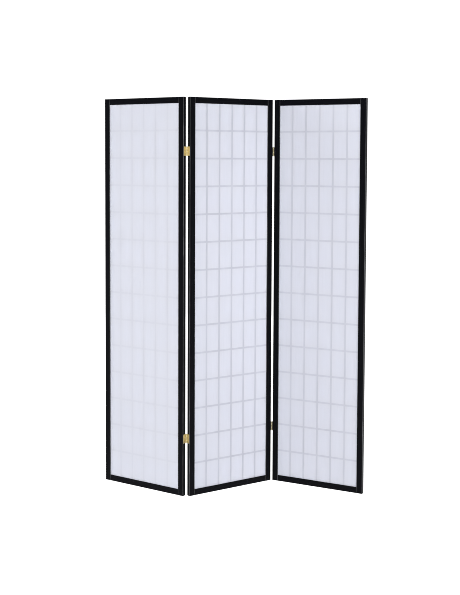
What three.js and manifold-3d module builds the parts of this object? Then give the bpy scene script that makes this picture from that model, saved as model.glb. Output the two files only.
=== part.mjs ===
import * as THREE from 'three';
import { mergeVertices, toCreasedNormals } from 'three/addons/utils/BufferGeometryUtils.js';
import Module from 'manifold-3d';

const wasm = await Module();
wasm.setup();

// A folding screen of three shoji panels that stand in a zigzag.
// Sizes are in millimetres and angles in degrees. +Z is up and -Y is the front.

// Panels
const panelHeight = 1785;
const panelWidth = 446.5;
const frameThickness = 19;
const stileWidth = 28;
const railHeight = 27.5;
const arrisRadius = 1.2;

// Frame joints: a groove holds the lattice, and blind tenons hold the rails
const grooveDepth = 5;
const tenonLength = 16;
const tenonThickness = 6.5;
const tenonSetback = 4;

// Lattice and its two sheets of paper
const latticeDepth = 12;
const barWidth = 8;
const columnCount = 6;
const rowCount = 14;
const paperThickness = 0.4;

// Butt hinges, screwed to the edge faces of the stiles
const hingeHeight = 41;
const upperHingeDrop = 239;
const lowerHingeRise = 259;
const barrelRadius = 2.3;
const leafThickness = 1;
const leafSetback = 1.5;
const pinRise = 3.2;
const pinTip = 0.8;
const knuckleCount = 5;

// Countersunk screws
const screwHeadRadius = 2.5;
const screwShankRadius = 1.3;
const screwLength = 14;
const screwTip = 3;
const screwSpacing = 24;
const slotWidth = 0.8;
const slotDepth = 0.6;

// Space kept between pieces that touch
const fitGap = 0.3;

// How far each panel is turned from the line of the whole screen
const leftSlant = 35;
const middleSlant = 31;
const rightSlant = 29;

// Derived sizes
const openingWidth = panelWidth - 2 * stileWidth;
const openingHeight = panelHeight - 2 * railHeight;
const insertWidth = openingWidth + 2 * (grooveDepth - fitGap);
const insertHeight = openingHeight + 2 * (grooveDepth - fitGap);
const paperOffset = latticeDepth / 2 + fitGap + paperThickness / 2;
const grooveWidth = 2 * (paperOffset + paperThickness / 2 + fitGap);
const pinOffset = barrelRadius + fitGap;
const boreRadius = barrelRadius - leafThickness;
const leafReach = pinRise + frameThickness - leafSetback;
const screwHeadHeight = screwHeadRadius - screwShankRadius;
const screwHeights = [screwSpacing / 2, -screwSpacing / 2];
const pinToPanelX = pinOffset + panelWidth / 2;
const pinToPanelY = pinRise + frameThickness / 2;

const hingeSites = [
  { name: 'upper', height: panelHeight - upperHingeDrop },
  { name: 'lower', height: lowerHingeRise },
];

const blackWood = { color: 0x17181b, roughness: 0.42, metalness: 0 };
const paleWood = { color: 0xd9c7a0, roughness: 0.7, metalness: 0 };
const paper = { color: 0xe2e3ec, roughness: 0.9, metalness: 0 };
const brass = { color: 0xc9ad68, roughness: 0.32, metalness: 1 };

// Solids

function solidOf(geometry) {
  geometry.deleteAttribute('normal');
  geometry.deleteAttribute('uv');
  const merged = mergeVertices(geometry, 1e-4);
  return new wasm.Manifold(new wasm.Mesh({
    numProp: 3,
    vertProperties: Float32Array.from(merged.attributes.position.array),
    triVerts: Uint32Array.from(merged.index.array),
  }));
}

function meshOf(name, solid, look) {
  const faces = solid.getMesh();
  const geometry = new THREE.BufferGeometry();
  geometry.setAttribute('position', new THREE.BufferAttribute(faces.vertProperties, 3));
  geometry.setIndex(new THREE.BufferAttribute(faces.triVerts, 1));
  const creased = toCreasedNormals(geometry, THREE.MathUtils.degToRad(35));
  const mesh = new THREE.Mesh(creased, new THREE.MeshStandardMaterial(look));
  mesh.name = name;
  return mesh;
}

// A box between two corners
function block(low, high) {
  const geometry = new THREE.BoxGeometry(high[0] - low[0], high[1] - low[1], high[2] - low[2]);
  geometry.translate((low[0] + high[0]) / 2, (low[1] + high[1]) / 2, (low[2] + high[2]) / 2);
  return solidOf(geometry);
}

// A square-edged bar with rounded arrises, along Z from 0 to its length
function roundedBar(width, depth, length) {
  const x = width / 2;
  const y = depth / 2;
  const r = arrisRadius;
  const outline = new THREE.Shape();
  outline.moveTo(-x + r, -y);
  outline.lineTo(x - r, -y);
  outline.absarc(x - r, -y + r, r, -Math.PI / 2, 0);
  outline.lineTo(x, y - r);
  outline.absarc(x - r, y - r, r, 0, Math.PI / 2);
  outline.lineTo(-x + r, y);
  outline.absarc(-x + r, y - r, r, Math.PI / 2, Math.PI);
  outline.lineTo(-x, -y + r);
  outline.absarc(-x + r, -y + r, r, Math.PI, Math.PI * 1.5);
  return new THREE.ExtrudeGeometry(outline, { depth: length, bevelEnabled: false, curveSegments: 4 });
}

// A round rod along Z, centred on the origin
function rod(radius, length, sides) {
  const geometry = new THREE.CylinderGeometry(radius, radius, length, sides);
  geometry.rotateX(Math.PI / 2);
  return solidOf(geometry);
}

// Frame

// One stile, upright on its own middle line, with its groove on the side given by `inner`
function makeStile(inner, hinged) {
  let stile = solidOf(roundedBar(stileWidth, frameThickness, panelHeight));
  const edge = inner * stileWidth / 2;
  const spill = inner * stileWidth;
  const grooveFloor = edge - inner * grooveDepth;
  const grooveStart = railHeight - grooveDepth;
  stile = stile.subtract(block(
    [Math.min(grooveFloor, edge + spill), -grooveWidth / 2, grooveStart],
    [Math.max(grooveFloor, edge + spill), grooveWidth / 2, panelHeight - grooveStart],
  ));
  const mortiseFloor = edge - inner * (tenonLength + fitGap);
  const mortiseHalf = tenonThickness / 2 + fitGap;
  for (const [low, high] of tenonSpans()) {
    stile = stile.subtract(block(
      [Math.min(mortiseFloor, edge + spill), -mortiseHalf, low - fitGap],
      [Math.max(mortiseFloor, edge + spill), mortiseHalf, high + fitGap],
    ));
  }
  if (hinged) {
    for (const hole of screwHoles(-inner)) {
      stile = stile.subtract(hole);
    }
  }
  return stile;
}

// The heights that the lower and the upper tenons take up
function tenonSpans() {
  const low = tenonSetback;
  const high = railHeight - grooveDepth;
  return [[low, high], [panelHeight - high, panelHeight - low]];
}

// The pilot holes of every screw that goes into the outer edge of a stile
function screwHoles(outward) {
  const headPlane = stileWidth / 2 + fitGap + leafThickness;
  return hingeSites.flatMap((site) => screwHeights.map((height) => {
    const hole = screwSpace();
    const turned = hole.rotate([0, outward * 90, 0]);
    return turned.translate([outward * headPlane, 0, site.height + height]);
  }));
}

// One rail, with a tenon at each end and a groove along its inner edge
function makeRail(isTop) {
  const length = openingWidth - 2 * fitGap;
  const geometry = roundedBar(railHeight, frameThickness, length);
  geometry.rotateY(Math.PI / 2);
  geometry.translate(-length / 2, 0, railHeight / 2);
  let rail = solidOf(geometry);
  const tenonReach = openingWidth / 2 + tenonLength;
  const [tenonLow, tenonHigh] = tenonSpans()[0];
  rail = rail.add(block(
    [-tenonReach, -tenonThickness / 2, tenonLow],
    [tenonReach, tenonThickness / 2, tenonHigh],
  ));
  rail = rail.subtract(block(
    [-openingWidth, -grooveWidth / 2, railHeight - grooveDepth],
    [openingWidth, grooveWidth / 2, railHeight * 2],
  ));
  if (isTop) {
    return rail.rotate([180, 0, 0]).translate([0, 0, panelHeight]);
  }
  return rail;
}

// Lattice and paper

// Half-lapped bars, glued into one grid, with its bar ends in the frame's groove
function makeLattice() {
  const halfWidth = insertWidth / 2;
  const halfHeight = insertHeight / 2;
  const bars = [];
  for (let column = 1; column < columnCount; column += 1) {
    const x = -halfWidth + column * insertWidth / columnCount;
    bars.push(block(
      [x - barWidth / 2, -latticeDepth / 2, -halfHeight],
      [x + barWidth / 2, latticeDepth / 2, halfHeight],
    ));
  }
  for (let row = 1; row < rowCount; row += 1) {
    const z = -halfHeight + row * insertHeight / rowCount;
    bars.push(block(
      [-halfWidth, -latticeDepth / 2, z - barWidth / 2],
      [halfWidth, latticeDepth / 2, z + barWidth / 2],
    ));
  }
  return bars.reduce((grid, bar) => grid.add(bar));
}

function makePaper() {
  return block(
    [-insertWidth / 2, -paperThickness / 2, -insertHeight / 2],
    [insertWidth / 2, paperThickness / 2, insertHeight / 2],
  );
}

// Hinges: the pin stands on the origin, and the leaf lies on a stile at +X that reaches to -Y

function knuckleSpans(first) {
  const pitch = hingeHeight / knuckleCount;
  const spans = [];
  for (let index = first; index < knuckleCount; index += 2) {
    const low = index === 0 ? 0 : index * pitch + fitGap / 2;
    const high = index === knuckleCount - 1 ? hingeHeight : (index + 1) * pitch - fitGap / 2;
    spans.push([low - hingeHeight / 2, high - hingeHeight / 2]);
  }
  return spans;
}

function makeLeaf(firstKnuckle) {
  const neckStart = -(barrelRadius + fitGap);
  let leaf = block(
    [boreRadius, -leafReach, -hingeHeight / 2],
    [barrelRadius, neckStart, hingeHeight / 2],
  );
  for (const [low, high] of knuckleSpans(firstKnuckle)) {
    const knuckle = rod(barrelRadius, high - low, 24).translate([0, 0, (low + high) / 2]);
    leaf = leaf.add(knuckle);
    leaf = leaf.add(block([boreRadius, neckStart - fitGap, low], [barrelRadius, 0, high]));
  }
  leaf = leaf.subtract(rod(boreRadius, hingeHeight * 2, 24));
  for (const height of screwHeights) {
    leaf = leaf.subtract(screwSpace().rotate([0, -90, 0]).translate([boreRadius, -pinToPanelY, height]));
  }
  return leaf;
}

function makePin() {
  const radius = boreRadius - fitGap;
  const half = hingeHeight / 2;
  const outline = [
    new THREE.Vector2(0, -half - pinTip),
    new THREE.Vector2(radius * 0.7, -half - pinTip * 0.7),
    new THREE.Vector2(radius, -half),
    new THREE.Vector2(radius, half),
    new THREE.Vector2(radius * 0.7, half + pinTip * 0.7),
    new THREE.Vector2(0, half + pinTip),
  ];
  return turned(outline, 20);
}

// A lathe outline of radius and height, stood upright along Z
function turned(outline, sides) {
  const geometry = new THREE.LatheGeometry(outline, sides);
  geometry.rotateX(Math.PI / 2);
  return solidOf(geometry);
}

// A screw along Z, with the top of its head at 0 and its point below
function makeScrew() {
  const screw = turned([
    new THREE.Vector2(0, -screwLength),
    new THREE.Vector2(screwShankRadius, -screwLength + screwTip),
    new THREE.Vector2(screwShankRadius, -screwHeadHeight),
    new THREE.Vector2(screwHeadRadius, 0),
    new THREE.Vector2(0, 0),
  ], 18);
  return screw.subtract(block(
    [-screwHeadRadius * 2, -slotWidth / 2, -slotDepth],
    [screwHeadRadius * 2, slotWidth / 2, slotDepth],
  ));
}

// The room that a screw takes up in a leaf and in the wood behind it
function screwSpace() {
  return turned([
    new THREE.Vector2(0, -screwLength - fitGap),
    new THREE.Vector2(screwShankRadius + fitGap, -screwLength + screwTip - fitGap),
    new THREE.Vector2(screwShankRadius + fitGap, -screwHeadHeight),
    new THREE.Vector2(screwHeadRadius + fitGap, 0),
    new THREE.Vector2(screwHeadRadius + fitGap, leafThickness),
    new THREE.Vector2(0, leafThickness),
  ], 18);
}

// Assembly

// A panel stands with the middle of its bottom edge on its group's origin
function makePanel(name, hingedSides) {
  const panel = new THREE.Group();
  for (const [word, side] of [['left', -1], ['right', 1]]) {
    const stile = makeStile(-side, hingedSides.includes(side));
    const mesh = meshOf(`${name}_panel_${word}_stile`, stile, blackWood);
    mesh.position.x = side * (panelWidth - stileWidth) / 2;
    panel.add(mesh);
  }
  panel.add(meshOf(`${name}_panel_top_rail`, makeRail(true), blackWood));
  panel.add(meshOf(`${name}_panel_bottom_rail`, makeRail(false), blackWood));
  const lattice = meshOf(`${name}_panel_lattice`, makeLattice(), paleWood);
  lattice.position.z = panelHeight / 2;
  panel.add(lattice);
  for (const [word, side] of [['front', -1], ['back', 1]]) {
    const sheet = meshOf(`${name}_panel_${word}_paper`, makePaper(), paper);
    sheet.position.set(0, side * paperOffset, panelHeight / 2);
    panel.add(sheet);
  }
  return panel;
}

// A leaf with its two screws, turned to lie on its stile
function makeLeafGroup(name, firstKnuckle, turn) {
  const group = new THREE.Group();
  group.add(meshOf(name, makeLeaf(firstKnuckle), brass));
  for (const [index, height] of screwHeights.entries()) {
    const word = index === 0 ? 'upper' : 'lower';
    const screw = meshOf(`${name}_${word}_screw`, makeScrew(), brass);
    screw.position.set(boreRadius, -pinToPanelY, height);
    screw.rotation.y = -Math.PI / 2;
    group.add(screw);
  }
  group.rotation.set(...turn);
  return group;
}

// The two hinges of a fold: fixed leaves and pins go to one panel, and swinging leaves to the other
function addHinges(fold, fixedSide, swingingSide, fixedTurn, swingingTurn) {
  for (const site of hingeSites) {
    const name = `${fold}_${site.name}_hinge`;
    const fixedLeaf = makeLeafGroup(`${name}_fixed_leaf`, 0, fixedTurn);
    const swingingLeaf = makeLeafGroup(`${name}_swinging_leaf`, 1, swingingTurn);
    const pin = meshOf(`${name}_pin`, makePin(), brass);
    fixedLeaf.position.z = site.height;
    swingingLeaf.position.z = site.height;
    pin.position.z = site.height;
    fixedSide.add(fixedLeaf, pin);
    swingingSide.add(swingingLeaf);
  }
}

// A pivot on the pin line of a fold, fixed to the middle panel
function makePivot(side, front) {
  const pivot = new THREE.Group();
  pivot.position.set(side * pinToPanelX, front ? -pinToPanelY : pinToPanelY, 0);
  return pivot;
}

function makeScreen() {
  const screen = new THREE.Group();
  const middlePanel = makePanel('middle', [-1, 1]);
  middlePanel.rotation.z = THREE.MathUtils.degToRad(middleSlant);

  // The left panel folds onto the back of the middle panel
  const leftPin = makePivot(-1, false);
  const leftFold = makePivot(-1, false);
  const leftPanel = makePanel('left', [1]);
  leftPanel.position.set(-pinToPanelX, -pinToPanelY, 0);
  leftFold.rotation.z = -THREE.MathUtils.degToRad(leftSlant + middleSlant);
  leftFold.add(leftPanel);
  addHinges('left', leftPin, leftFold, [0, 0, 0], [0, Math.PI, 0]);

  // The right panel folds onto the front of the middle panel
  const rightPin = makePivot(1, true);
  const rightFold = makePivot(1, true);
  const rightPanel = makePanel('right', [-1]);
  rightPanel.position.set(pinToPanelX, pinToPanelY, 0);
  rightFold.rotation.z = -THREE.MathUtils.degToRad(rightSlant + middleSlant);
  rightFold.add(rightPanel);
  addHinges('right', rightPin, rightFold, [0, 0, Math.PI], [Math.PI, 0, 0]);

  middlePanel.add(leftPin, leftFold, rightPin, rightFold);
  screen.add(middlePanel);
  return screen;
}

// The origin is on the floor, in the middle of the screen's footprint
function standOnOrigin(screen) {
  screen.updateMatrixWorld(true);
  const bounds = new THREE.Box3().setFromObject(screen, true);
  const centre = bounds.getCenter(new THREE.Vector3());
  screen.position.set(-centre.x, -centre.y, -bounds.min.z);
  return screen;
}

export default standOnOrigin(makeScreen());
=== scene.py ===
import math
import random

import bmesh
import bpy
from mathutils import Matrix, Vector


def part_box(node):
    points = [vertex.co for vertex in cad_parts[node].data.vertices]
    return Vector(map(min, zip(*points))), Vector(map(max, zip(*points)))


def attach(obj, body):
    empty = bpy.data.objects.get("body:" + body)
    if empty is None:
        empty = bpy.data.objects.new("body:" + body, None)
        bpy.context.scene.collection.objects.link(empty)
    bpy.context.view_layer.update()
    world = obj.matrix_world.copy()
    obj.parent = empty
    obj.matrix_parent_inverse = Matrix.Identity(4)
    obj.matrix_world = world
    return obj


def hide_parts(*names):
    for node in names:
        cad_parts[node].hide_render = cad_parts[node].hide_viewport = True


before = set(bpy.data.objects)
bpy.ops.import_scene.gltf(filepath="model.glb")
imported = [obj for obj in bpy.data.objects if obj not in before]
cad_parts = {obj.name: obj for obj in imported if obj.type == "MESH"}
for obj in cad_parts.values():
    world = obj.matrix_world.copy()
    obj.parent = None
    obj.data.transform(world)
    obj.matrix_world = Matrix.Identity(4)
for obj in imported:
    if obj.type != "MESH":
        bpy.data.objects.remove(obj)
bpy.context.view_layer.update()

# A folding screen of three shoji panels: black wooden frames, rice paper over a lattice, brass hinges.
# Lengths are in metres, angles in degrees. The front faces -Y.

scene = bpy.context.scene
scene.view_settings.view_transform = "Standard"
scene.cycles.filter_width = 0.9     # pixels: the thin black frames stay crisp, as in the photograph
print("frame loaded:", len(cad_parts), "nodes")


# Camera and studio

cameraValues = {
    "place": (-0.19408, -4.74902, 1.52363),
    "turn": -2.005,
    "tilt": 3.2,
    "roll": 0.227,
    "lens": 63.21,
    "shift": (0.00458, -0.13900),
}


def placeCamera(values):
    data = bpy.data.cameras.new("photoCamera")
    data.lens = values["lens"]
    data.shift_x, data.shift_y = values["shift"]
    camera = bpy.data.objects.new("photoCamera", data)
    turn = Matrix.Rotation(math.radians(values["turn"]), 4, "Z")
    tilt = Matrix.Rotation(math.radians(90 - values["tilt"]), 4, "X")
    roll = Matrix.Rotation(math.radians(values["roll"]), 4, "Z")
    camera.matrix_world = Matrix.Translation(values["place"]) @ turn @ tilt @ roll
    scene.collection.objects.link(camera)
    scene.camera = camera


studioValues = {
    "floorSize": 80.0,
    "floorColour": (0.30, 0.30, 0.31),
    "floorRoughness": 0.9,
    "floorSheen": 0.1,
    "floorGlow": 1.25,          # the floor shines by itself, so it shows hardly any shadow
    "backdrop": 1.15,           # what the camera sees past the floor
    "roomLight": 0.05,          # what falls on the screen from all sides
    "roomGloss": 0.40,          # what its polish reflects
}

sunValues = {
    "strength": 2.6,
    "softness": 45,
    "side": 246,                # where it comes from: 0 is the front, 90 the right
    "height": 15,
    "gloss": False,             # whether polish reflects it
}

lampValues = {
    "frontLamp": {"power": 33.0, "size": (2.0, 1.6), "gloss": True,
                  "place": (-0.4, -5.2, 1.2), "aim": (0, 0, 0.8)},
    "rightLamp": {"power": 24.0, "size": (0.8, 2.8), "gloss": False,
                  "place": (1.5, -1.35, 1.15), "aim": (0, 0, 1.15)},
    "backLamp": {"power": 80.0, "size": (2.0, 1.6), "gloss": False,
                 "place": (0.4, 5.2, 1.2), "aim": (0, 0, 0.8)},
    "leftLamp": {"power": 23.0, "size": (0.8, 2.8), "gloss": False,
                 "place": (-2.4, -1.8, 1.2), "aim": (0, 0, 1.2)},
}


def makeFloor(values):
    form = bmesh.new()
    bmesh.ops.create_grid(form, x_segments=1, y_segments=1, size=values["floorSize"] / 2)
    mesh = bpy.data.meshes.new("studioFloor")
    form.to_mesh(mesh)
    form.free()
    paint = bpy.data.materials.new("floorPaint")
    paint.use_nodes = True
    shader = paint.node_tree.nodes["Principled BSDF"]
    shader.inputs["Base Color"].default_value = (*values["floorColour"], 1)
    shader.inputs["Roughness"].default_value = values["floorRoughness"]
    shader.inputs["Specular IOR Level"].default_value = values["floorSheen"]
    shader.inputs["Emission Color"].default_value = (1, 1, 1, 1)
    shader.inputs["Emission Strength"].default_value = values["floorGlow"]
    mesh.materials.append(paint)
    floor = bpy.data.objects.new("studioFloor", mesh)
    scene.collection.objects.link(floor)


def lightRoom(values):
    world = bpy.data.worlds.new("studioRoom")
    scene.world = world
    world.use_nodes = True
    tree = world.node_tree
    tree.nodes.clear()
    output = tree.nodes.new("ShaderNodeOutputWorld")
    ray = tree.nodes.new("ShaderNodeLightPath")
    room, gloss, backdrop = [tree.nodes.new("ShaderNodeBackground") for _ in range(3)]
    room.inputs["Strength"].default_value = values["roomLight"]
    gloss.inputs["Strength"].default_value = values["roomGloss"]
    backdrop.inputs["Strength"].default_value = values["backdrop"]
    for shader in (room, gloss, backdrop):
        shader.inputs["Color"].default_value = (1, 1, 1, 1)
    soft = tree.nodes.new("ShaderNodeMixShader")
    seen = tree.nodes.new("ShaderNodeMixShader")
    tree.links.new(ray.outputs["Is Glossy Ray"], soft.inputs["Fac"])
    tree.links.new(room.outputs[0], soft.inputs[1])
    tree.links.new(gloss.outputs[0], soft.inputs[2])
    tree.links.new(ray.outputs["Is Camera Ray"], seen.inputs["Fac"])
    tree.links.new(soft.outputs[0], seen.inputs[1])
    tree.links.new(backdrop.outputs[0], seen.inputs[2])
    tree.links.new(seen.outputs[0], output.inputs["Surface"])


def hangLight(name, kind, values, towards):
    data = bpy.data.lights.new(name, kind)
    light = bpy.data.objects.new(name, data)
    light.rotation_mode = "QUATERNION"
    light.rotation_quaternion = towards.to_track_quat("-Z", "Y")
    light.visible_glossy = values["gloss"]
    light.visible_camera = False
    scene.collection.objects.link(light)
    return light


def hangSun(name, values):
    side = math.radians(values["side"])
    height = math.radians(values["height"])
    level = Vector((math.sin(side), -math.cos(side), 0)) * math.cos(height)
    origin = level + Vector((0, 0, math.sin(height)))
    light = hangLight(name, "SUN", values, -origin)
    light.data.energy = values["strength"]
    light.data.angle = math.radians(values["softness"])


def hangLamp(name, values):
    light = hangLight(name, "AREA", values, Vector(values["aim"]) - Vector(values["place"]))
    light.location = values["place"]
    light.data.shape = "RECTANGLE"
    light.data.size, light.data.size_y = values["size"]
    light.data.energy = values["power"]


placeCamera(cameraValues)
makeFloor(studioValues)
lightRoom(studioValues)
hangSun("backSun", sunValues)
for lampName, lamp in lampValues.items():
    hangLamp(lampName, lamp)
print("studio made")


# Where each panel stands, read off its two papers

panelSides = ("left", "middle", "right")


def middleOf(nodeName):
    low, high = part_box(nodeName)
    return (low + high) / 2


def panelPlace(side):
    front = middleOf(f"{side}_panel_front_paper")
    back = middleOf(f"{side}_panel_back_paper")
    depth = back - front
    turn = math.atan2(-depth.x, depth.y)
    floorPoint = (front + back) / 2
    floorPoint.z = 0
    return Matrix.Translation(floorPoint) @ Matrix.Rotation(turn, 4, "Z")


panelPlaces = {side: panelPlace(side) for side in panelSides}

# The sizes of a panel that the looks need. x runs across, y back and z up from its bottom middle.
panelSizes = {
    "height": 1.785,
    "width": 0.4465,
    "thickness": 0.019,
    "stileWidth": 0.028,
    "railHeight": 0.0275,
    "paperTuck": 0.0047,        # how far the paper runs into the frame's groove
    "paperDepth": 0.0065,       # from the middle of the panel to the middle of the paper
    "paperThickness": 0.0004,
    "columns": 6,
    "rows": 14,
    "barWidth": 0.008,
}
for span, whole, member in (("paperWidth", "width", "stileWidth"), ("paperHeight", "height", "railHeight")):
    opening = panelSizes[whole] - 2 * panelSizes[member]
    panelSizes[span] = round(opening + 2 * panelSizes["paperTuck"], 5)      # to a hundredth of a millimetre


# Node helpers

seedShift = (3.7, 1.9, 5.3)     # how far a seed of 1 moves the noise, in spots


def putNode(tree, kind, settings=None, **values):
    # a value's key is an input's name, or i0, i1 and so on for its place; a socket is linked, the rest set
    node = tree.nodes.new(kind)
    for key, value in (settings or {}).items():
        setattr(node, key, value)
    for key, value in values.items():
        socket = node.inputs[int(key[1:])] if key[0] == "i" and key[1:].isdigit() else node.inputs[key]
        if isinstance(value, bpy.types.NodeSocket):
            tree.links.new(value, socket)
        else:
            socket.default_value = value
    return node


def calculate(tree, operation, first, second=0.0, third=0.0):
    node = putNode(tree, "ShaderNodeMath", {"operation": operation}, i0=first, i1=second, i2=third)
    return node.outputs[0]


def ramp(tree, value, low, high, fromValue=0.0, toValue=1.0):
    # a smooth step from fromValue at low to toValue at high
    node = putNode(tree, "ShaderNodeMapRange", {"interpolation_type": "SMOOTHSTEP"}, Value=value)
    node.inputs["From Min"].default_value = low
    node.inputs["From Max"].default_value = high
    node.inputs["To Min"].default_value = fromValue
    node.inputs["To Max"].default_value = toValue
    return node.outputs[0]


def speckle(tree, place, size, stretch=(1, 1, 1), detail=3.0, rough=0.55, wander=0.0, seed=0.0):
    # noise whose spots are about size metres across, pulled out by stretch
    scaled = putNode(tree, "ShaderNodeMapping", {"vector_type": "POINT"}, Vector=place)
    scaled.inputs["Scale"].default_value = [1 / (size * s) for s in stretch]
    scaled.inputs["Location"].default_value = [seed * shift for shift in seedShift]
    node = putNode(tree, "ShaderNodeTexNoise", {"noise_dimensions": "3D"}, Vector=scaled.outputs[0])
    node.inputs["Scale"].default_value = 1.0
    node.inputs["Detail"].default_value = detail
    node.inputs["Roughness"].default_value = rough
    node.inputs["Distortion"].default_value = wander
    return node.outputs["Fac"]


def blendColour(tree, share, first, second):
    # inputs 6 and 7 and output 2 are the Mix node's colours
    node = putNode(tree, "ShaderNodeMix", {"data_type": "RGBA"})
    for socket, value in ((node.inputs[0], share), (node.inputs[6], first), (node.inputs[7], second)):
        if isinstance(value, bpy.types.NodeSocket):
            tree.links.new(value, socket)
        else:
            socket.default_value = value if isinstance(value, float) else (*value, 1)
    return node.outputs[2]


def startMaterial(name):
    material = bpy.data.materials.new(name)
    material.use_nodes = True
    tree = material.node_tree
    tree.nodes.clear()
    return material, tree, tree.nodes.new("ShaderNodeOutputMaterial")


def panelPoint(tree, side):
    # a point of the surface in its own panel's measure
    place = panelPlaces[side]
    coordinates = tree.nodes.new("ShaderNodeTexCoord")
    mapping = putNode(tree, "ShaderNodeMapping", {"vector_type": "TEXTURE"},
                      Vector=coordinates.outputs["Object"])
    mapping.inputs["Location"].default_value = place.translation
    mapping.inputs["Rotation"].default_value = place.to_euler()
    return mapping.outputs[0]


def splitPoint(tree, point):
    return putNode(tree, "ShaderNodeSeparateXYZ", Vector=point).outputs


def toNearestBar(tree, along, start, pitch):
    # the distance to the nearest bar of the lattice, with one every pitch from start
    return calculate(tree, "PINGPONG", calculate(tree, "SUBTRACT", along, start), pitch / 2)


def roughen(tree, height, strength, depth, **more):
    # small bumps as high as depth, in metres; more goes to the Bump node as it is
    bump = putNode(tree, "ShaderNodeBump", Height=height, **more)
    bump.inputs["Strength"].default_value = strength
    bump.inputs["Distance"].default_value = depth
    return bump.outputs[0]


def makeShader(tree, colour, roughness, normal):
    shader = putNode(tree, "ShaderNodeBsdfPrincipled", Roughness=roughness, Normal=normal)
    tree.links.new(colour, shader.inputs["Base Color"])
    return shader


# Black paint on wood

blackPaintValues = {
    "colour": (0.0016, 0.0018, 0.0030),
    "dustyColour": (0.0034, 0.0037, 0.0054),
    # lighter corners: partly worn paint, partly a painted highlight, much stronger on the uprights, which
    # catch the light
    "wornHighlightColour": (0.150, 0.152, 0.158),
    "wornHighlightShare": {"stile": 1.0, "rail": 0.2},
    "poreColour": (0.002, 0.002, 0.0024),
    "roughness": (0.33, 0.48),
    "rubbedRoughness": 0.1,     # what rubbing adds to it
    "sheenLevel": 0.045,
    "grainStretch": 22,         # how many times longer than wide the grain is
    "figureSize": 0.0022,
    "brushSize": 0.0011,
    "poreSize": 0.0007,
    "patchSize": 0.05,
    "figureRange": (0.35, 0.70),    # of the noise, from none to all, here and in the other ranges
    "poreRange": (0.30, 0.42),
    "scuffRange": (0.48, 0.66),
    "grainDepth": 0.00012,
    "grainStrength": 0.55,
    "poreDepth": 0.00010,
    "poreStrength": 0.45,
    "edgeBand": 0.0020,         # the width of the rubbed corners, lighter by wear and by a painted highlight
}


def makeBlackPaint(side, member, values, sizes):
    # member is "stile" or "rail": it sets the way of the grain and where the corners are
    material, tree, output = startMaterial(f"{side}{member.capitalize()}BlackPaint")
    point = panelPoint(tree, side)
    x, y, z = splitPoint(tree, point)
    upright = member == "stile"
    along = values["grainStretch"]
    stretch = (1, 1, along) if upright else (along, 1, 1)
    brushStretch = [way ** 1.4 for way in stretch]
    patchStretch = (1, 1, 3) if upright else (3, 1, 1)
    seed = panelSides.index(side) + (0.0 if upright else 0.5)
    figure = speckle(tree, point, values["figureSize"], stretch, detail=4.0, wander=0.4, seed=seed)
    pores = speckle(tree, point, values["poreSize"], stretch, detail=2.0, seed=seed + 7)
    brushed = speckle(tree, point, values["brushSize"], brushStretch, detail=2.0, seed=seed + 3)
    patches = speckle(tree, point, values["patchSize"], patchStretch, detail=3.0, seed=seed + 5)
    pits = ramp(tree, pores, *values["poreRange"], 1.0, 0.0)

    # the corners of the bar, where hands and cloths thin the paint, and where a highlight is painted as
    # lighter colour
    if upright:
        across = calculate(tree, "ABSOLUTE", x)
        across = calculate(tree, "SUBTRACT", across, (sizes["width"] - sizes["stileWidth"]) / 2)
        halfBar = sizes["stileWidth"] / 2
    else:
        across = calculate(tree, "SUBTRACT", z, sizes["height"] / 2)
        across = calculate(tree, "ABSOLUTE", across)
        across = calculate(tree, "SUBTRACT", across, (sizes["height"] - sizes["railHeight"]) / 2)
        halfBar = sizes["railHeight"] / 2
    across = calculate(tree, "ABSOLUTE", across)
    depth = calculate(tree, "ABSOLUTE", y)
    band = values["edgeBand"]
    nearSide = ramp(tree, across, halfBar - band, halfBar - band / 3)
    nearFace = ramp(tree, depth, sizes["thickness"] / 2 - band, sizes["thickness"] / 2 - band / 3)
    corner = calculate(tree, "MULTIPLY", nearSide, nearFace)
    scuffs = ramp(tree, patches, *values["scuffRange"])
    share = values["wornHighlightShare"][member]
    wornHighlightStrength = calculate(tree, "MULTIPLY_ADD", scuffs, share * 0.55, share * 0.5)
    wornHighlight = calculate(tree, "MULTIPLY", corner, wornHighlightStrength)

    dust = ramp(tree, figure, *values["figureRange"])
    colour = blendColour(tree, dust, values["colour"], values["dustyColour"])
    colour = blendColour(tree, calculate(tree, "MULTIPLY", pits, 0.6), colour, values["poreColour"])
    # painted highlight on the corners, mixed with their wear
    colour = blendColour(tree, wornHighlight, colour, values["wornHighlightColour"])
    mixed = calculate(tree, "MULTIPLY_ADD", patches, 0.6, calculate(tree, "MULTIPLY", brushed, 0.4))
    roughness = ramp(tree, mixed, 0.3, 0.7, *values["roughness"])
    roughness = calculate(tree, "MULTIPLY_ADD", wornHighlight, values["rubbedRoughness"], roughness)

    height = calculate(tree, "MULTIPLY_ADD", brushed, 0.35, figure)
    grain = roughen(tree, height, values["grainStrength"], values["grainDepth"])
    pitted = roughen(tree, pits, values["poreStrength"], values["poreDepth"],
                     settings={"invert": True}, Normal=grain)
    shader = makeShader(tree, colour, roughness, pitted)
    shader.inputs["Specular IOR Level"].default_value = values["sheenLevel"]
    tree.links.new(shader.outputs[0], output.inputs["Surface"])
    return material


# Pale wood of the lattice

latticeWoodValues = {
    "earlyWood": (0.66, 0.52, 0.34),
    "lateWood": (0.47, 0.33, 0.18),
    "ringSpacing": 0.0035,
    "grainStretch": 30,
    "ringRange": (0.50, 0.85),
    "roughness": (0.55, 0.75),
    "sheenLevel": 0.35,
    "grainDepth": 0.0001,
    "grainStrength": 0.5,
}


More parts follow.
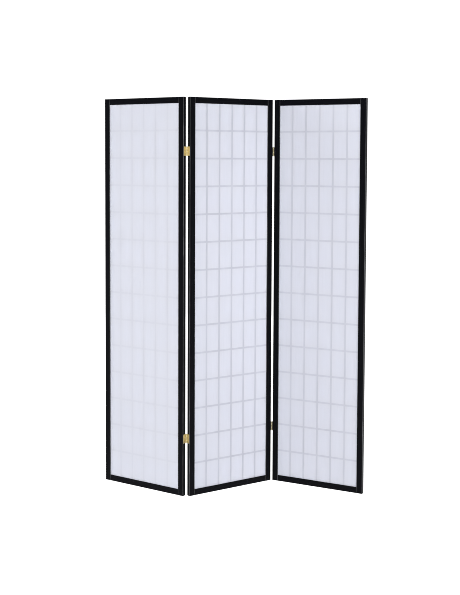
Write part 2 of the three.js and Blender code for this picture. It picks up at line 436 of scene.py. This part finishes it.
def makeLatticeWood(side, values, sizes):
    material, tree, output = startMaterial(f"{side}LatticeWood")
    point = panelPoint(tree, side)
    x = splitPoint(tree, point)[0]
    pitch = sizes["paperWidth"] / sizes["columns"]
    toBar = toNearestBar(tree, x, -sizes["paperWidth"] / 2, pitch)
    upright = ramp(tree, toBar, sizes["barWidth"] * 0.49, sizes["barWidth"] * 0.53, 1.0, 0.0)
    along = values["grainStretch"]
    figures = []
    for stretch in ((along, 1, 1), (1, 1, along)):
        rings = speckle(tree, point, values["ringSpacing"], stretch, detail=3.0, wander=0.6)
        fibres = speckle(tree, point, values["ringSpacing"] / 5, stretch, detail=2.0)
        figures.append(calculate(tree, "MULTIPLY_ADD", fibres, 0.35, rings))
    level = calculate(tree, "MULTIPLY", figures[0], calculate(tree, "SUBTRACT", 1.0, upright))
    figure = calculate(tree, "MULTIPLY_ADD", figures[1], upright, level)
    late = ramp(tree, figure, *values["ringRange"])
    colour = blendColour(tree, late, values["earlyWood"], values["lateWood"])
    roughness = ramp(tree, figure, 0.4, 0.9, *values["roughness"])
    grain = roughen(tree, figure, values["grainStrength"], values["grainDepth"])
    shader = makeShader(tree, colour, roughness, grain)
    shader.inputs["Specular IOR Level"].default_value = values["sheenLevel"]
    tree.links.new(shader.outputs[0], output.inputs["Surface"])
    return material


# Rice paper

ricePaperValues = {
    "colour": (0.872, 0.886, 0.952),
    "cloudColour": (0.824, 0.842, 0.920),
    "fibreColour": (0.91, 0.915, 0.955),
    "throughColour": (0.91, 0.915, 0.94),
    # the colour of the lines over the bars: glue and painted shade of the bars behind the paper
    "pasteAndShadeColour": (0.55, 0.57, 0.66),
    "pasteAndShadeShare": {"left": 0.09, "middle": 0.36, "right": 0.28},    # how strongly the bars mark the paper: glue and painted shade of the bars, set per panel by how much light comes through it from behind
    "lightThrough": 0.42,
    "cloudSize": 0.05,
    "streakSize": 0.006,
    "longFibreSize": 0.0016,
    "crossFibreSize": 0.0014,
    "feltSize": 0.0005,
    "longFibreRange": (0.60, 0.68),
    "crossFibreRange": (0.66, 0.72),
    "toneRange": (0.35, 0.65),
    "pasteAndShadeBand": (0.40, 0.62),   # where the glue and the painted bar shade end each side of a bar's middle, in bar widths
    "roughness": (0.82, 0.95),
    "sheenLevel": 0.15,
    "fibreDepth": 0.00005,
    "fibreStrength": 0.5,
    "slack": 0.00032,           # how far a cell's paper may stand off its bars' plane
    "swellRange": (-0.55, 1.0),     # the least and the most of that slack in a cell, negative inwards
    "swellPower": 0.8,          # below 1 a cell swells evenly, above 1 more at its middle
    "stepsAcross": 5,           # faces in each cell
    "stepsUp": 7,
    "seed": 41,
}


def makeRicePaper(side, values, sizes):
    material, tree, output = startMaterial(f"{side}RicePaper")
    point = panelPoint(tree, side)
    x, _, z = splitPoint(tree, point)
    seed = panelSides.index(side) * 2.0
    clouds = speckle(tree, point, values["cloudSize"], (1, 1, 2.5), detail=4.0, rough=0.5, seed=seed)
    streaks = speckle(tree, point, values["streakSize"], (1, 1, 30), detail=3.0, wander=0.2, seed=seed + 1)
    felt = speckle(tree, point, values["feltSize"], (1, 1, 2), detail=3.0, seed=seed + 4)
    longFibres = speckle(tree, point, values["longFibreSize"], (1, 1, 18),
                         detail=4.0, wander=1.6, seed=seed + 2)
    crossFibres = speckle(tree, point, values["crossFibreSize"], (9, 1, 2),
                          detail=3.0, wander=1.2, seed=seed + 3)
    longFibres = ramp(tree, longFibres, *values["longFibreRange"])
    crossFibres = ramp(tree, crossFibres, *values["crossFibreRange"], 0.0, 0.7)
    fibres = calculate(tree, "MAXIMUM", longFibres, crossFibres)

    # where the bars lie behind the paper: glue marks and painted shade of the bars
    overBars = []
    band = [share * sizes["barWidth"] for share in values["pasteAndShadeBand"]]
    for along, middle, length, count in ((x, 0.0, sizes["paperWidth"], sizes["columns"]),
                                         (z, sizes["height"] / 2, sizes["paperHeight"], sizes["rows"])):
        toBar = toNearestBar(tree, along, middle - length / 2, length / count)
        overBars.append(ramp(tree, toBar, *band, 1.0, 0.0))
    pasteAndShadeShare = values["pasteAndShadeShare"][side]
    pasteAndShade = ramp(tree, clouds, 0.2, 0.8, pasteAndShadeShare * 0.8, pasteAndShadeShare * 1.2)
    pasteAndShade = calculate(tree, "MULTIPLY", calculate(tree, "MAXIMUM", *overBars), pasteAndShade)

    tone = calculate(tree, "MULTIPLY_ADD", streaks, 0.75, calculate(tree, "MULTIPLY", clouds, 0.25))
    lightness = ramp(tree, tone, *values["toneRange"])
    colour = blendColour(tree, lightness, values["cloudColour"], values["colour"])
    colour = blendColour(tree, calculate(tree, "MULTIPLY", fibres, 0.5), colour, values["fibreColour"])
    # painted shade of the bars, with the glue, darkens the face over each bar
    colour = blendColour(tree, pasteAndShade, colour, values["pasteAndShadeColour"])
    height = calculate(tree, "MULTIPLY_ADD", fibres, 0.8, streaks)
    height = calculate(tree, "MULTIPLY_ADD", felt, 0.5, height)
    pulp = roughen(tree, height, values["fibreStrength"], values["fibreDepth"])
    roughness = ramp(tree, felt, 0.3, 0.7, *values["roughness"])
    face = makeShader(tree, colour, roughness, pulp)
    face.inputs["Specular IOR Level"].default_value = values["sheenLevel"]

    # what comes through the sheet from behind
    thickness = ramp(tree, tone, *values["toneRange"], 0.0, 0.5)
    thick = blendColour(tree, thickness, values["throughColour"], values["cloudColour"])
    # the same painted bar shade darkens what comes through the sheet
    thick = blendColour(tree, pasteAndShade, thick, values["pasteAndShadeColour"])
    through = putNode(tree, "ShaderNodeBsdfTranslucent", Color=thick)
    throughShare = ramp(tree, tone, 0.3, 0.7, values["lightThrough"] * 0.9, values["lightThrough"] * 1.1)
    both = putNode(tree, "ShaderNodeMixShader", Fac=throughShare, i1=face.outputs[0], i2=through.outputs[0])
    tree.links.new(both.outputs[0], output.inputs["Surface"])
    return material


# Brass

brassValues = {
    "colour": (0.93, 0.80, 0.47),
    # dulled brass: tarnish, and painted shade on the hinges that stand in shade
    "patinaAndShadeColour": (0.42, 0.37, 0.22),
    "patinaAndShade": {                # the least and the most on each hinge: more on the right fold and lower down, where the hinges stand in shade, so this is painted shade as well as tarnish
        "leftUpper": (0.0, 0.5),
        "leftLower": (0.25, 0.85),
        "rightUpper": (0.40, 0.90),
        "rightLower": (0.60, 1.0),
    },
    "patinaAndShadeRange": (0.35, 0.65),
    "spotRange": (0.55, 0.72),
    "tarnishSize": 0.006,
    "brushSize": 0.0003,
    "roughness": (0.28, 0.45),
    "spotRoughness": 0.12,      # what dull spots add to it
    "scratchDepth": 0.00002,
    "scratchStrength": 0.4,
}


def makeBrass(hinge, values):
    material, tree, output = startMaterial(f"{hinge}Brass")
    point = tree.nodes.new("ShaderNodeTexCoord").outputs["Object"]
    patinaAndShade = speckle(tree, point, values["tarnishSize"], detail=5.0, rough=0.65)
    brushing = speckle(tree, point, values["brushSize"], (1, 1, 18), detail=2.0)
    spots = ramp(tree, patinaAndShade, *values["spotRange"])
    # darkening per hinge: tarnish and painted shade
    patinaAndShadeAmount = ramp(tree, patinaAndShade, *values["patinaAndShadeRange"], *values["patinaAndShade"][hinge])
    colour = blendColour(tree, patinaAndShadeAmount, values["colour"], values["patinaAndShadeColour"])
    roughness = ramp(tree, brushing, 0.3, 0.7, *values["roughness"])
    roughness = calculate(tree, "MULTIPLY_ADD", spots, values["spotRoughness"], roughness)
    scratches = roughen(tree, brushing, values["scratchStrength"], values["scratchDepth"])
    shader = makeShader(tree, colour, roughness, scratches)
    shader.inputs["Metallic"].default_value = 1.0
    tree.links.new(shader.outputs[0], output.inputs["Surface"])
    return material


def paintNode(nodeName, material):
    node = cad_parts[nodeName]
    for materialSlot in node.material_slots:
        materialSlot.material = material


stilePaints = {side: makeBlackPaint(side, "stile", blackPaintValues, panelSizes) for side in panelSides}
railPaints = {side: makeBlackPaint(side, "rail", blackPaintValues, panelSizes) for side in panelSides}
latticeWoods = {side: makeLatticeWood(side, latticeWoodValues, panelSizes) for side in panelSides}
ricePapers = {side: makeRicePaper(side, ricePaperValues, panelSizes) for side in panelSides}
hingeBrass = {hinge: makeBrass(hinge, brassValues) for hinge in brassValues["patinaAndShade"]}
for side in panelSides:
    for rail in ("top_rail", "bottom_rail"):
        paintNode(f"{side}_panel_{rail}", railPaints[side])
    paintNode(f"{side}_panel_lattice", latticeWoods[side])
print("finishes made")


# Making pieces

makingValues = {
    "smoothAngle": 35,          # edges sharper than this stay sharp
    "weldDistance": 2e-6,       # corners of a CAD node closer than this are one
    "flatAngle": 1,             # faces of a CAD node that meet flatter than this are one
    "levelGap": 1e-5,           # corners closer than this to an end's height lie on it
}


def camelName(nodeName):
    first, *others = nodeName.split("_")
    return first + "".join(word.capitalize() for word in others)


def finishPiece(nodeName, form, material, body, flatFrom=math.inf):
    # the piece stands for the CAD node of that name
    # faces broader than flatFrom are shaded flat, and the narrow ones of rounded corners smooth
    smooth = [2 * face.calc_area() / face.calc_perimeter() < flatFrom for face in form.faces]
    name = camelName(nodeName)
    mesh = bpy.data.meshes.new(name)
    form.to_mesh(mesh)
    form.free()
    mesh.set_sharp_from_angle(angle=math.radians(makingValues["smoothAngle"]))
    mesh.polygons.foreach_set("use_smooth", smooth)
    mesh.materials.append(material)
    piece = bpy.data.objects.new(name, mesh)
    scene.collection.objects.link(piece)
    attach(piece, body)
    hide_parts(nodeName)
    return piece


def mergedCopy(nodeName):
    # a CAD node's own shape as whole faces, to be worked on
    form = bmesh.new()
    form.from_mesh(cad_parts[nodeName].data)
    bmesh.ops.remove_doubles(form, verts=form.verts, dist=makingValues["weldDistance"])
    flatAngle = math.radians(makingValues["flatAngle"])
    bmesh.ops.dissolve_limit(form, angle_limit=flatAngle, verts=form.verts, edges=form.edges)
    return form


# Stiles, with their end corners eased

stileValues = {
    "endRound": 0.0006,
    "endSteps": 2,
    "flatFrom": 0.0008,
}


def makeStile(side, hand, values):
    nodeName = f"{side}_panel_{hand}_stile"
    form = mergedCopy(nodeName)
    levelGap = makingValues["levelGap"]
    rim = []
    for end in (0.0, panelSizes["height"]):
        rim += [edge for edge in form.edges if all(abs(vert.co.z - end) < levelGap for vert in edge.verts)]
    bmesh.ops.bevel(form, geom=rim, offset=values["endRound"], segments=values["endSteps"],
                    affect="EDGES", profile=0.5, material=-1, clamp_overlap=True)
    finishPiece(nodeName, form, stilePaints[side], f"{side}_panel", values["flatFrom"])


for side in panelSides:
    for hand in ("left", "right"):
        makeStile(side, hand, stileValues)
print("stiles made")


# Papers, a little slack between the bars

def makePaper(side, face, values, sizes, shuffle):
    width, height = sizes["paperWidth"], sizes["paperHeight"]
    columns, rows = sizes["columns"], sizes["rows"]
    form = bmesh.new()
    bmesh.ops.create_grid(form, x_segments=columns * values["stepsAcross"],
                          y_segments=rows * values["stepsUp"], size=0.5)
    outward = -1 if face == "front" else 1
    outerFace = sizes["paperDepth"] + sizes["paperThickness"] / 2
    swells = {}
    for column in range(columns):
        for row in range(rows):
            swells[column, row] = shuffle.uniform(*values["swellRange"])
    for vert in form.verts:
        across = (vert.co.x + 0.5) * columns
        up = (vert.co.y + 0.5) * rows
        cell = (min(int(across), columns - 1), min(int(up), rows - 1))
        hump = abs(math.sin(math.pi * across) * math.sin(math.pi * up)) ** values["swellPower"]
        outside = outward * (outerFace + hump * swells[cell] * values["slack"])
        vert.co = Vector((vert.co.x * width, outside, sizes["height"] / 2 + vert.co.y * height))
    bmesh.ops.recalc_face_normals(form, faces=form.faces)
    bmesh.ops.solidify(form, geom=form.faces[:], thickness=sizes["paperThickness"])
    form.transform(panelPlaces[side])
    piece = finishPiece(f"{side}_panel_{face}_paper", form, ricePapers[side], f"{side}_panel")


paperShuffle = random.Random(ricePaperValues["seed"])
for side in panelSides:
    for face in ("front", "back"):
        makePaper(side, face, ricePaperValues, panelSizes, paperShuffle)
print("papers made")


# Hinges

hingeValues = {
    "edgeRound": 0.0002,
    "edgeSteps": 2,
    "roundFrom": 50,            # edges sharper than this are rounded
    "flatFrom": 0.0008,
}


def makeHingeMetal(nodeName, brass, body, values):
    form = mergedCopy(nodeName)
    bmesh.ops.dissolve_degenerate(form, dist=1e-7, edges=form.edges)
    roundFrom = math.radians(values["roundFrom"])
    sharp = [edge for edge in form.edges if len(edge.link_faces) == 2 and edge.calc_face_angle() > roundFrom]
    bmesh.ops.bevel(form, geom=sharp, offset=values["edgeRound"], segments=values["edgeSteps"],
                    affect="EDGES", profile=0.5, material=-1, clamp_overlap=True)
    finishPiece(nodeName, form, brass, body, values["flatFrom"])


for fold in ("left", "right"):
    for site in ("upper", "lower"):
        hinge = f"{fold}_{site}_hinge"
        brass = hingeBrass[fold + site.capitalize()]
        paintNode(f"{hinge}_pin", brass)
        for leaf, body in (("fixed", "middle_panel"), ("swinging", f"{fold}_panel")):
            makeHingeMetal(f"{hinge}_{leaf}_leaf", brass, body, hingeValues)
            for screw in ("upper", "lower"):
                makeHingeMetal(f"{hinge}_{leaf}_leaf_{screw}_screw", brass, body, hingeValues)
print("hinges made")


# The end

print("scene done")
